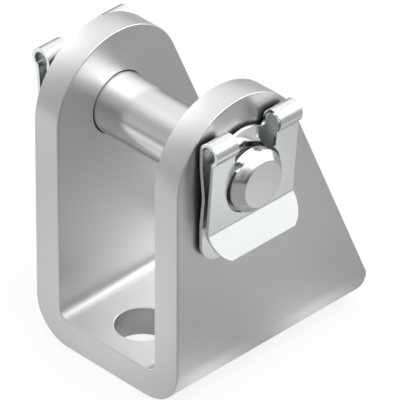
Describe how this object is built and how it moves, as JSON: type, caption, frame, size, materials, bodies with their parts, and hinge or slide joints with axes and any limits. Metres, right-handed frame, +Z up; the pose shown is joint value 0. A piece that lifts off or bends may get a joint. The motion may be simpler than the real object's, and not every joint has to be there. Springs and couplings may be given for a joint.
{
  "type": "cylinder bearing block",
  "caption": "U-shaped steel clevis bracket with a grooved cross pin held by folded spring clips, for hinging a small pneumatic cylinder.",
  "frame": {"origin": "middle of the base's underside, which is also the middle of the bolt hole row", "axes": "+Z up, X along the cross pin with +X to the clip that faces the viewer, -Y towards the ears' straight edges"},
  "size_m": [0.0324, 0.032, 0.04],
  "materials": {
    "bracket": "fine satin, bright plated",
    "clevis_pin": "turned and ground, bright",
    "clip": "bright spring steel"
  },
  "bodies": {
    "bracket": {"bracket": "bracket"},
    "pin": {"clevis_pin": "clevis_pin"},
    "clip_right": {"clip_right": "clip"},
    "clip_left": {"clip_left": "clip"}
  },
  "joints": [
    {"name": "pin_turn", "type": "hinge", "parent": "bracket", "child": "pin", "pos_m": [0, -0.006, 0.03], "axis": [1, 0, 0], "continuous": true},
    {"name": "clip_right_turn", "type": "hinge", "parent": "pin", "child": "clip_right", "pos_m": [0.0128, -0.006, 0.03], "axis": [1, 0, 0], "continuous": true},
    {"name": "clip_left_turn", "type": "hinge", "parent": "pin", "child": "clip_left", "pos_m": [-0.0128, -0.006, 0.03], "axis": [1, 0, 0], "continuous": true}
  ]
}
